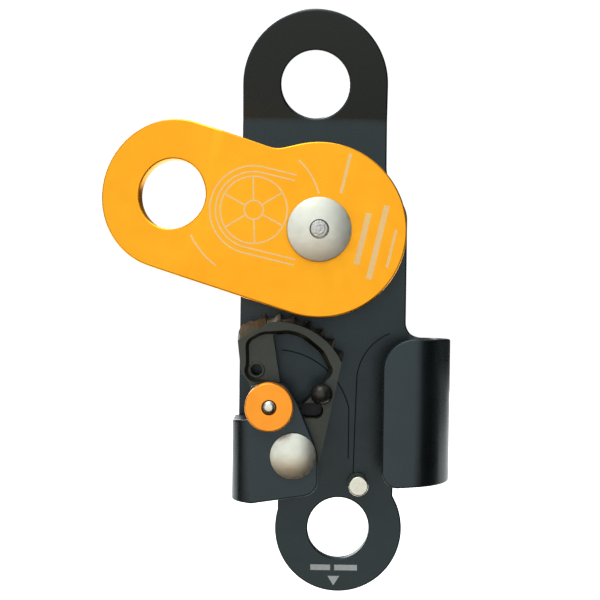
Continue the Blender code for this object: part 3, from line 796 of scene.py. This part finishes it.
def turned_mesh(name, profile, centre, sides=SIDES, hollow=False):
    """Turns (radius, y) points about the Y axis through centre."""
    shape = bmesh.new()
    rings = []
    for radius, y in profile:
        count = 1 if radius == 0 else sides
        ring = []
        for i in range(count):
            angle = 2 * math.pi * i / count
            x = centre[0] + radius * math.cos(angle)
            ring.append(shape.verts.new((x, y, centre[1] + radius * math.sin(angle))))
        rings.append(ring)
    pairs = list(zip(rings, rings[1:]))
    if hollow:
        pairs.append((rings[-1], rings[0]))
    for near, far in pairs:
        for i in range(sides):
            j = (i + 1) % sides
            corners = [near[i % len(near)], near[j % len(near)], far[j % len(far)], far[i % len(far)]]
            shape.faces.new(list(dict.fromkeys(corners)))
    return mesh_of(name, shape)


def turned_piece(name, profile, centre, body, slot, material, node, **shape):
    """A turned mesh that stands for a CAD node."""
    finish_piece(name, turned_mesh(name, profile, centre, **shape), body, material, [node])


def eased(points, radius=0.3, steps=3):
    """Rounds the inner corners of an open (radius, y) profile."""
    profile = [points[0]]
    for before, corner, after in zip(points, points[1:], points[2:]):
        to_before = Vector(before) - Vector(corner)
        to_after = Vector(after) - Vector(corner)
        reach = min(radius, to_before.length * 0.45, to_after.length * 0.45)
        start = Vector(corner) + to_before.normalized() * reach
        end = Vector(corner) + to_after.normalized() * reach
        for i in range(steps + 1):
            share = i / steps
            curve = start * (1 - share) ** 2 + Vector(corner) * 2 * share * (1 - share) + end * share**2
            profile.append((max(curve.x, 0.0), curve.y))
    profile.append(points[-1])
    return profile


def dome(radius, base_y, height, steps=16, centre_radius=0.0):
    """Half profile of a domed head from its rim to its middle, bulging to -Y."""
    sphere = (radius**2 + height**2) / (2 * height)
    profile = []
    for i in range(steps + 1):
        r = radius + (centre_radius - radius) * i / steps
        profile.append((r, base_y + sphere - height - math.sqrt(sphere**2 - r**2)))
    return profile


# ---- plate and cheek


def tilted(height, inside, start):
    """Height and offset towards the other plate of a point on an eye's pattern."""
    middle_radius = TILT_RADIUS + PLATE_THICKNESS / 2
    turned_by = min(max((height - start) / middle_radius, 0.0), EYE_TILT)
    straight = height - start - turned_by * middle_radius
    radius = TILT_RADIUS + inside
    rise = start + radius * math.sin(turned_by) + straight * math.cos(turned_by)
    offset = TILT_RADIUS - radius * math.cos(turned_by) + straight * math.sin(turned_by)
    return rise, offset


def pattern_height(rise, start):
    middle_radius = TILT_RADIUS + PLATE_THICKNESS / 2
    flat = rise - start - middle_radius * math.sin(EYE_TILT)
    return start + middle_radius * EYE_TILT + flat / math.cos(EYE_TILT)


def wing_lengths(radius):
    return math.pi / 2 * (radius + PLATE_THICKNESS / 2), WING_DEPTH - 2 * radius


def wing_point(run, depth, radius):
    """Distance past the bend line and y, at a run along the pattern past it."""
    quarter, straight = wing_lengths(radius)
    middle_radius = radius + PLATE_THICKNESS / 2
    high = PLATE_FRONT - radius
    if run <= quarter:
        angle = run / middle_radius
        return (radius + depth) * math.sin(angle), high + (radius + depth) * math.cos(angle)
    if run <= quarter + straight:
        return radius + depth, high - (run - quarter)
    low = high - straight
    if run <= 2 * quarter + straight:
        angle = (run - quarter - straight) / middle_radius
        return (radius + depth) * math.cos(angle), low - (radius + depth) * math.sin(angle)
    return 2 * quarter + straight - run, low - radius - depth


def plate_bend(s, z, depth):
    """Bends a point of the fixed plate's pattern: two wings turned to the front, the eye leant forward."""
    tilt_start = AXLE[1] + TILT_ABOVE_AXLE
    if z > tilt_start:
        rise, offset = tilted(z, depth, tilt_start)
        return s, PLATE_FRONT - offset, rise
    if s > RIGHT_BEND_X:
        past, y = wing_point(s - RIGHT_BEND_X, depth, RIGHT_BEND_RADIUS)
        return RIGHT_BEND_X + past, y, z
    if s < LEFT_BEND_X and (z < RELIEF_TOP - RELIEF_SLOT / 2 or s < LEFT_SHOULDER):
        past, y = wing_point(LEFT_BEND_X - s, depth, LEFT_BEND_RADIUS)
        return LEFT_BEND_X - past, y, z
    return s, PLATE_FRONT + depth, z


def left_pattern(x):
    quarter, straight = wing_lengths(LEFT_BEND_RADIUS)
    return LEFT_BEND_X - 2 * quarter - straight - (x - LEFT_BEND_X)


def right_pattern(x):
    quarter, straight = wing_lengths(RIGHT_BEND_RADIUS)
    return RIGHT_BEND_X + 2 * quarter + straight + (RIGHT_BEND_X - x)


def wing_cuts(line, direction, radius, steps):
    quarter, straight = wing_lengths(radius)
    cuts = []
    for start in (0.0, quarter + straight):
        for i in range(steps + 1):
            cuts.append(((line + direction * (start + quarter * i / steps), 0, 0), (1, 0, 0)))
    return cuts


def tilt_cuts(start, steps=8):
    length = EYE_TILT * (TILT_RADIUS + PLATE_THICKNESS / 2)
    return [((0, start + length * i / steps, 0), (0, 1, 0)) for i in range(steps + 1)]


def plate_outline():
    """The fixed plate's flat pattern, clockwise from the left of the hang eye."""
    eye = (0.0, pattern_height(0.0, AXLE[1] + TILT_ABOVE_AXLE))
    corners = [(x, eye[1] + (z - eye[1]) * EYE_STRETCH) for x, z in arc(eye, EYE_RADIUS, 180, 0)]
    corners += [
        (19.7, -24.5, 9.0),
        (25.5, -34.0, 9.0),
        (25.5, -68.3, 4.0),
        (right_pattern(RIGHT_TONGUE_END), -68.3, 8.0),
        (right_pattern(RIGHT_TONGUE_END), -107.2, 4.0),
        (RIGHT_BEND_X + 2, -104.8),
        (22.6, -104.8, 2.5),
    ]
    corners += arc(LOWER_EYE, LOWER_EYE_RADIUS, 31, -196)
    corners += [
        (-8.75, -111.3, 1.0),
        (LEFT_BEND_X, -111.3),
        ((LEFT_BEND_X + left_pattern(LEFT_BEND_X)) / 2, -110.1, 7.0),
        (left_pattern(LEFT_BEND_X), -111.3),
        (left_pattern(1.8), -108.7, 4.0),
        (left_pattern(1.8), -98.0, 12.0),
        (left_pattern(-3.4), -85.6, 9.0),
        (left_pattern(-7.0), -79.4, 5.0),
        (left_pattern(-15.7), -80.6, 1.2),
        (left_pattern(-15.7), LEFT_WING_TOP, 1.2),
        (LEFT_SHOULDER - 0.7, LEFT_WING_TOP),
        (LEFT_SHOULDER - 0.7, RELIEF_TOP - RELIEF_SLOT),
        (LEFT_BEND_X + 0.6, RELIEF_TOP - RELIEF_SLOT),
        (LEFT_BEND_X + 0.6, RELIEF_TOP),
        (-EYE_RADIUS, RELIEF_TOP, 0.6),
    ]
    return rounded(corners)


def add_fixed_plate(material):
    eye = (0.0, pattern_height(0.0, AXLE[1] + TILT_ABOVE_AXLE))
    holes = [
        circle(eye, EYE_HOLE),
        circle(AXLE, AXLE_PIN_RADIUS + GAP),
        circle(LOWER_EYE, LOWER_EYE_HOLE),
        circle(CAM_PIVOT, RIVET_RADIUS + GAP, 48),
        circle((left_pattern(CAM_PIVOT[0]), CAM_PIVOT[1]), RIVET_RADIUS + GAP, 48),
        circle((left_pattern(LOCK[0]), LOCK[1]), 4.5, 48),
        circle(GUIDE_PIN, 2.3, 40),
    ]
    cuts = wing_cuts(RIGHT_BEND_X, 1, RIGHT_BEND_RADIUS, 16)
    cuts += wing_cuts(LEFT_BEND_X, -1, LEFT_BEND_RADIUS, 10)
    cuts += tilt_cuts(AXLE[1] + TILT_ABOVE_AXLE)
    mesh = bent_sheet("plate_sheet", plate_outline(), holes, PLATE_THICKNESS, cuts, plate_bend)
    finish_piece("plate_sheet", mesh, "frame", material, ["fixed_plate"])


def open_cheek(u, y, v):
    """From the cheek's own upright layout to where it stands open."""
    c = math.cos(-CHEEK_OPEN)
    s = math.sin(-CHEEK_OPEN)
    return AXLE[0] + u * c + v * s, y, AXLE[1] - u * s + v * c


def cheek_bend(u, v, depth):
    rise, offset = tilted(v, CHEEK_THICKNESS - depth, TILT_ABOVE_AXLE)
    return open_cheek(u, CHEEK_BACK + offset, rise)


def add_swing_cheek(material):
    eye = (0.0, pattern_height(CHEEK_EYE_RISE, TILT_ABOVE_AXLE))
    tangent = math.degrees(math.asin((CHEEK_ROUND - EYE_RADIUS) / eye[1]))
    corners = arc(eye, EYE_RADIUS, 180 - tangent, -3)
    corners.append((17.5, 15.6, 7.0))
    corners += arc((0, 0), CHEEK_ROUND, 26, -180 - tangent)
    holes = [circle(eye, CHEEK_EYE_HOLE), circle((0, 0), CHEEK_BORE)]
    cuts = tilt_cuts(TILT_ABOVE_AXLE)
    mesh = bent_sheet("cheek_sheet", rounded(corners), holes, CHEEK_THICKNESS, cuts, cheek_bend)
    finish_piece("cheek_sheet", mesh, "swing_cheek", material, ["swing_cheek"])


# ---- axle, wheel, pins


def add_axle(steel, rough_steel):
    _, base, radius = span("axle_cap")
    cap = [(CAP_BORE, base), (radius, base), *dome(radius, base - 1.3, 1.35, 18, CAP_BORE)]
    turned_piece("axle_dome", eased(cap), AXLE, "frame", "steel", steel, "axle_cap", hollow=True)
    front, back, _ = span("axle_pin")
    neck = CAP_BORE + 0.02
    head = side("rear_axle_washer", 1, 1) + GAP
    outline = [(0, front + 0.05), (1.6, front + 0.1), (neck, front + 0.35), (neck, front + 3.0)]
    outline += [(AXLE_PIN_RADIUS, front + 3.0), (AXLE_PIN_RADIUS, head), (AXLE_HEAD, head)]
    outline += [(AXLE_HEAD, head + 0.7), (7.0, back - 0.6), (5.0, back - 0.15), (0, back)]
    profile = eased(outline, 0.4)
    turned_piece("axle_pin_turned", profile, AXLE, "frame", "steel", rough_steel, "axle_pin")


def add_sheave(aluminium):
    _, half, rim_radius = span("sheave")
    groove = []
    for i in range(GROOVE_STEPS + 1):
        y = GROOVE_HALF * (2 * i / GROOVE_STEPS - 1)
        groove.append((TREAD_RADIUS + GROOVE_RADIUS - math.sqrt(GROOVE_RADIUS**2 - y**2), y))
    rim = [(rim_radius, -half + 0.5), (rim_radius - 0.5, -half)]
    web = [(12.5, -half), (12.0, -half + 1.2), (9.6, -half + 1.2), (9.2, -half), (7.8, -half)]
    back_web = [(r, -y) for r, y in reversed(web)]
    back_rim = [(r, -y) for r, y in reversed(rim)]
    profile = [*web, *back_web, *back_rim, *reversed(groove), *rim]
    finish = ("sheave", "sheave_aluminium", aluminium, "sheave")
    turned_piece("grooved_wheel", profile, AXLE, *finish, sides=128, hollow=True)


def add_rivet(steel):
    front = TONGUE_FACE - GAP
    rear = side("cam_rear_washer", 1, 1)
    _, back, radius = span("cam_rivet")
    profile = [*reversed(dome(radius, front - 1.1, 1.3)), (radius, front), (RIVET_RADIUS, front)]
    profile += [(RIVET_RADIUS, rear + 0.1), (2.0, back - 0.2), (0, back)]
    turned_piece("cam_rivet_turned", profile, CAM_PIVOT, "frame", "steel", steel, "cam_rivet")


def add_lock(orange, steel):
    front, back, radius = span("lock_knob")
    waist = radius - 0.35
    floor = back - KNOB_WELL_DEPTH
    outline = [(KNOB_BORE, front), (radius, front), (radius, front + 1.4), (waist, front + 1.8)]
    outline += [(waist, back - 1.6), (radius, back - 1.2), (radius, back), (KNOB_WELL, back)]
    outline += [(KNOB_WELL, floor), (KNOB_BORE, floor), (KNOB_BORE, front)]
    profile = eased(outline, 0.45, 4)[1:]
    turned_piece("pull_knob", profile, LOCK, "lock", "knob", orange, "lock_knob", hollow=True)
    end, tip, _ = span("lock_pin")
    outline = [(0, end), (1.0, end + 0.05), (1.75, end + 0.6), (1.75, tip - 0.5), (1.3, tip), (0, tip)]
    turned_piece("lock_pin_turned", eased(outline), LOCK, "lock", "steel", steel, "lock_pin", sides=48)


def helix(radius, start_y, end_y, turns, start_turn=0.0, per_turn=32):
    """A coil's centre line round the Y axis."""
    count = round(turns * per_turn)
    path = []
    for i in range(count + 1):
        angle = 2 * math.pi * (start_turn + turns * i / count)
        y = start_y + (end_y - start_y) * i / count
        path.append(Vector((radius * math.cos(angle), y, radius * math.sin(angle))))
    return path


def wire_mesh(name, path, radius, centre, sides=12):
    """Round wire along a centre line, with closed ends."""
    shape = bmesh.new()
    rings = []
    for i, point in enumerate(path):
        ahead = path[min(i + 1, len(path) - 1)] - path[max(i - 1, 0)]
        across = ahead.cross(Vector((0, 1, 0))).normalized()
        up = across.cross(ahead).normalized()
        ring = []
        for j in range(sides):
            angle = 2 * math.pi * j / sides
            place = point + radius * (math.cos(angle) * across + math.sin(angle) * up)
            ring.append(shape.verts.new(place + Vector((centre[0], 0, centre[1]))))
        rings.append(ring)
    capped(shape, rings)
    return mesh_of(name, shape)


def wire_piece(name, path, radius, centre, body, steel, nodes=()):
    return finish_piece(name, wire_mesh(name, path, radius, centre), body, steel, nodes)


def add_springs(steel):
    """The lock spring's coil is built on the frame at its rest length; the torsion spring's last turn and leg
    go with the cam.
    """
    front, back, _ = span("lock_spring")
    path = helix(LOCK_COIL, back - LOCK_WIRE, front + LOCK_WIRE, 4.0)
    spring = wire_piece("fine_lock_spring", path, LOCK_WIRE, LOCK, "frame", steel, ["lock_spring"])
    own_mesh(spring)
    start = side("cam_torsion_spring", 1, 0) + TORSION_WIRE
    pitch = (CAM_BACK - 0.75 - start) / TORSION_TURNS
    fixed = TORSION_TURNS - 1.0
    coil = helix(TORSION_COIL, start, start + pitch * fixed, fixed)
    at_rest = ["cam_torsion_spring"]
    wire_piece("torsion_spring_coil", coil, TORSION_WIRE, CAM_PIVOT, "frame", steel, at_rest)
    leg = helix(TORSION_COIL, start + pitch * fixed, start + pitch * TORSION_TURNS, 1.0, fixed)
    leg.append(Vector((0.1, CAM_BACK - 0.7, 6.6)))
    wire_piece("torsion_spring_leg", leg, TORSION_WIRE, CAM_PIVOT, "cam", steel)


def add_guide_pin(steel):
    front, back, _ = span("rope_guide_pin")
    shoulder = PLATE_FRONT - 0.2
    outline = [(0, front), (2.65, front), (2.65, shoulder), (2.0, shoulder), (2.0, back - 0.5)]
    outline += [(1.4, back - 0.1), (0, back)]
    finish = ("frame", "steel", steel, "rope_guide_pin")
    turned_piece("guide_pin_turned", eased(outline, 0.5, 5), GUIDE_PIN, *finish, sides=64)


def add_thumb_stud(material):
    front, back, radius = span("thumb_stud")
    profile = [(0, back), (1.9, back), (1.7, back - 0.6)]
    for i in range(19):
        angle = math.radians(54 - 144 * i / 18)
        profile.append((radius * math.cos(angle), front + radius + radius * math.sin(angle)))
    profile[-1] = (0, front)
    turned_piece("ball_stud", profile, STUD, "cam", "cam_steel", material, "thumb_stud", sides=64)


# ---- cam


def tip_radius(angle):
    past = angle - TIPS_START
    return TIPS_RADIUS + 0.355 * past - 0.0039 * past**2


def face_radius(angle):
    chamfer = HEEL_CHAMFER_GROWTH * max(angle - HEEL_CHAMFER_ANGLE, 0)
    return tip_radius(angle) - FACE_DROP - chamfer


def cam_outline(toothed):
    """Outline around the pivot; every layer has the same points."""
    outline = []
    for tooth in range(TOOTH_COUNT - 1, -1, -1):
        tip = FIRST_TOOTH + TOOTH_PITCH * tooth
        for past_tip, height in TOOTH_STEPS:
            angle = tip + past_tip
            if angle > HEEL_ANGLE:
                continue
            radius = face_radius(angle)
            if toothed:
                radius = tip_radius(angle) - TOOTH_HEIGHT * (1 - height)
            outline.append((radius, angle))
    points = [(r * math.cos(math.radians(a)), r * math.sin(math.radians(a))) for r, a in outline]
    reach = math.degrees(math.acos(HUB_RADIUS / math.hypot(*TIP_CORNER)))
    tangent = math.degrees(math.atan2(TIP_CORNER[1], TIP_CORNER[0])) - reach
    points.append(TIP_CORNER)
    points += arc((0, 0), HUB_RADIUS, tangent, -190, 5)
    return points + LEFT_EDGE + (HEEL if toothed else HEEL_FACE)


def layered(loops):
    """Joins outlines of equal length, given as (y, outline), into one closed shape."""
    shape = bmesh.new()
    rings = []
    for y, outline in loops:
        rings.append([shape.verts.new((x + CAM_PIVOT[0], y, z + CAM_PIVOT[1])) for x, z in outline])
    capped(shape, rings)
    return shape


def cut(target, name, *loops):
    """Subtracts a prism or a drafted pocket, given as (y, outline) loops round the cam's pivot."""
    cutter = placed(name, mesh_of(name, layered(loops)))
    boolean = target.modifiers.new(name, "BOOLEAN")
    boolean.solver = "EXACT"
    boolean.object = cutter
    return cutter


def prism(outline, front, back):
    return (front, outline), (back, outline)


def mixed(point, wide):
    """The drafted point on the arch, the straight one near the hub."""
    share = min(max((math.hypot(*point) - 20.5) / 3.5, 0.0), 1.0)
    return point[0] + (wide[0] - point[0]) * share, point[1] + (wide[1] - point[1]) * share


def cam_cutters(rough):
    """The helper objects of the cam's pockets and holes; each one is subtracted from the blank."""
    ahead = CAM_FRONT - 2
    behind = CAM_BACK + 2
    floor = CAM_FRONT + RECESS_DEPTH
    window = directed(rounded(WINDOW), True)
    recess = directed(rounded([*RECESS_RIGHT, *arc(WEB_HOLE, 2.3, 270, 150, 10), *RECESS_TOP]), True)
    notch = directed(rounded(NOTCH), True)
    wide_window = [mixed(*pair) for pair in zip(window, inset(window, -ARCH_DRAFT))]
    wide_recess = inset(recess, -WALL_DRAFT)
    wide_notch = inset(notch, -NOTCH_DRAFT)
    lock_hole = (LOCK[0] - CAM_PIVOT[0], LOCK[1] - CAM_PIVOT[1])
    pockets = {
        "window": [(ahead, wide_window), (CAM_FRONT, wide_window), (floor, window), (behind, window)],
        "recess": [(ahead, wide_recess), (CAM_FRONT, wide_recess), (floor, recess)],
        "back_recess": prism(recess, CAM_BACK - 3.0, behind),
        "web_hole": prism(circle(WEB_HOLE, 1.45, 40), ahead, behind),
        "lock_hole": prism(circle(lock_hole, 2.1, 40), ahead, CAM_FRONT + 4.5),
        "bore": prism(circle((0, 0), CAM_BORE, 64), ahead, behind),
        "spring_pocket": prism(circle((0, 0), SPRING_POCKET, 64), SPRING_POCKET_FLOOR, behind),
        "notch": [(ahead, wide_notch), (CAM_FRONT, wide_notch), (CAM_FRONT + NOTCH_DEPTH, notch)],
        "spring_slot": prism(rounded(SPRING_SLOT), CAM_BACK - 2.4, behind),
    }
    return [cut(rough, name + "_cutter", *loops) for name, loops in pockets.items()]


def add_cam(material):
    loops = [
        (CAM_FRONT, cam_outline(False)),
        (CAM_FRONT + 1.7, cam_outline(True)),
        (CAM_BACK - 0.8, cam_outline(True)),
        (CAM_BACK, cam_outline(False)),
    ]
    rough = placed("cam_blank", mesh_of("cam_blank", layered(loops)))
    cutters = cam_cutters(rough)
    bevel = rough.modifiers.new("eased_edges", "BEVEL")
    bevel.width = EASED_EDGE * MM
    bevel.segments = 2
    bevel.limit_method = "ANGLE"
    bevel.angle_limit = math.radians(34)
    bevel.use_clamp_overlap = True
    evaluated = rough.evaluated_get(bpy.context.evaluated_depsgraph_get())
    mesh = bpy.data.meshes.new_from_object(evaluated)
    mesh.name = "toothed_cam"
    mesh.materials.clear()
    for helper in [rough, *cutters]:
        bpy.data.objects.remove(helper, do_unlink=True)
    finish_piece("toothed_cam", mesh, "cam", material, ["cam"])
    floor = CAM_FRONT + RECESS_DEPTH
    rim = eased([(1.5, floor), (1.5, floor - 0.5), (2.15, floor - 0.5), (2.15, floor)], 0.2)
    centre = (CAM_PIVOT[0] + WEB_HOLE[0], CAM_PIVOT[1] + WEB_HOLE[1])
    mesh = turned_mesh("web_hole_rim", rim, centre, 48, hollow=True)
    finish_piece("web_hole_rim", mesh, "cam", material)


# ---- generic marks


def stroke(path, width, closed=False):
    """Left and right edges of a line of even width along a path."""
    left = []
    right = []
    for i, (u, v) in enumerate(path):
        before = path[i - 1] if i or closed else path[0]
        after = path[(i + 1) % len(path)] if i + 1 < len(path) or closed else path[-1]
        along = Vector((after[0] - before[0], after[1] - before[1])).normalized()
        left.append((u - along.y * width / 2, v + along.x * width / 2))
        right.append((u + along.y * width / 2, v - along.x * width / 2))
    return left, right, closed


def bar(centre, length, width):
    u, v = centre
    return stroke([(u - length / 2, v), (u + length / 2, v)], width)


def add_mark(name, strokes, place, body, material, height=0.03):
    """Thin raised lines; place turns (u, v, rise) into the row frame."""
    shape = bmesh.new()
    for left, right, closed in strokes:
        rails = []
        for edge, rise in ((left, -0.02), (left, height), (right, height), (right, -0.02)):
            rails.append([shape.verts.new(place(u, v, rise)) for u, v in edge])
        count = len(left)
        for i in range(count if closed else count - 1):
            j = (i + 1) % count
            for near, far in zip(rails, rails[1:] + rails[:1]):
                shape.faces.new((near[i], near[j], far[j], far[i]))
        if not closed:
            shape.faces.new([rail[0] for rail in rails])
            shape.faces.new([rail[-1] for rail in rails])
    finish_piece(name, mesh_of(name, shape), body, material)


def add_cheek_marks(material):
    """Generic marks: a plain drawing of a rope over a wheel, and plain bars."""

    def place(u, v, rise):
        return cheek_bend(u, v, -rise)

    line = 0.42
    centre = (0.9, 17.5)
    drawing = [stroke(circle(centre, radius), line, True) for radius in (8.6, 2.4)]
    for k in range(6):
        angle = math.radians(60 * k + 15)
        spoke = [(centre[0] + r * math.cos(angle), centre[1] + r * math.sin(angle)) for r in (2.6, 8.4)]
        drawing.append(stroke(spoke, line))
    for radius in (9.8, 11.3):
        over = arc(centre, radius, 0, 180)
        rope = [(over[0][0], 9.0), *over, (over[-1][0], 4.0)]
        drawing.append(stroke(rope, line))
    drawing += [stroke(arc(centre, 17.2, start, end), line) for start, end in ((126, 160), (-62, -28))]
    add_mark("cheek_drawing", drawing, place, "swing_cheek", material)
    bars = [bar((0.4, -11.4), 13.6, 1.5), bar((0.4, -15.4), 19.4, 1.5), bar((-0.3, -19.2), 10.0, 0.7)]
    bars.append(bar((15.6, -3.2), 10.4, 0.8))
    add_mark("cheek_bars", bars, place, "swing_cheek", material)


def add_plate_marks(grey, dark):
    """Plain grey bars and a triangle on the lower eye, and the dark scribed lines of the rope's path."""

    def place(x, z, rise):
        return x, PLATE_FRONT - rise, z

    bars = [bar((3.1, -131.1), 5.4, 1.5), bar((10.0, -131.1), 6.2, 1.5)]
    triangle = [(5.1, -133.4), (6.66, -135.9)], [(8.3, -133.4), (6.74, -135.9)], False
    add_mark("eye_bars", [*bars, triangle], place, "frame", grey)
    right = [(11.7, -105.2), (12.0, -92.0), *arc((26.6, -80.5), 14.3, 175, 112)]
    left = [*arc((-9.6, -92.6), 20.5, 86, 14), (10.3, -94.0), (10.3, -101.5)]
    lines = [stroke(right, 0.3), stroke(left, 0.3)]
    add_mark("scribed_rope_lines", lines, place, "frame", dark, 0.012)


# ---- carried-over pieces


def finish_carried(node, material):
    """Gives a CAD piece that is already the right shape its finish."""
    mesh = frame["nodes"][node].data
    mesh.materials.clear()
    mesh.materials.append(material)


def build():
    add_camera()
    add_studio()
    plate = black_anodised()
    gold = gold_anodised("gold_anodised", (0.96, 0.41, 0.014), (0.93, 0.34, 0.008), (1.0, 0.62, 0.12))
    orange = gold_anodised("orange_anodised", (0.95, 0.335, 0.028), (0.90, 0.30, 0.024), (1.0, 0.60, 0.2))
    axle_steel = bright_steel("axle_steel", AXLE, 0.36)
    rivet_steel = bright_steel("rivet_steel", CAM_PIVOT, 0.32)
    pin_steel = bright_steel("lock_pin_steel", LOCK, 0.25, 0.25)
    guide_steel = bright_steel("guide_pin_steel", GUIDE_PIN, 0.25, 0.25)
    bronze = bearing_bronze()

    add_fixed_plate(plate)
    add_swing_cheek(gold)
    add_axle(axle_steel, peened_steel())
    add_sheave(turned_aluminium())
    add_rivet(rivet_steel)
    add_lock(orange, pin_steel)
    add_guide_pin(guide_steel)
    add_springs(pin_steel)
    add_thumb_stud(glossy_stud())
    add_cam(cast_steel())
    add_cheek_marks(laser_mark())
    grey = grey_mark("grey_mark", (0.50, 0.54, 0.54), (0.36, 0.39, 0.40))
    dark = grey_mark("scribed_line", (0.004, 0.005, 0.006), (0.010, 0.012, 0.014), 0.1)
    add_plate_marks(grey, dark)

    for node in ("cheek_bush", "sheave_bush", "cam_bush"):
        finish_carried(node, bronze)
    for end in ("front", "rear"):
        finish_carried("thrust_washer_" + end, bronze)
        finish_carried("cam_shim_" + end, bronze)
    for node in ("rear_axle_washer", "axle_sleeve"):
        finish_carried(node, axle_steel)
    finish_carried("cam_rear_washer", rivet_steel)
    for node in ("lock_pin_collar", "lock_sleeve"):
        finish_carried(node, pin_steel)
    finish_carried("cheek_washer", black_nylon())


build()
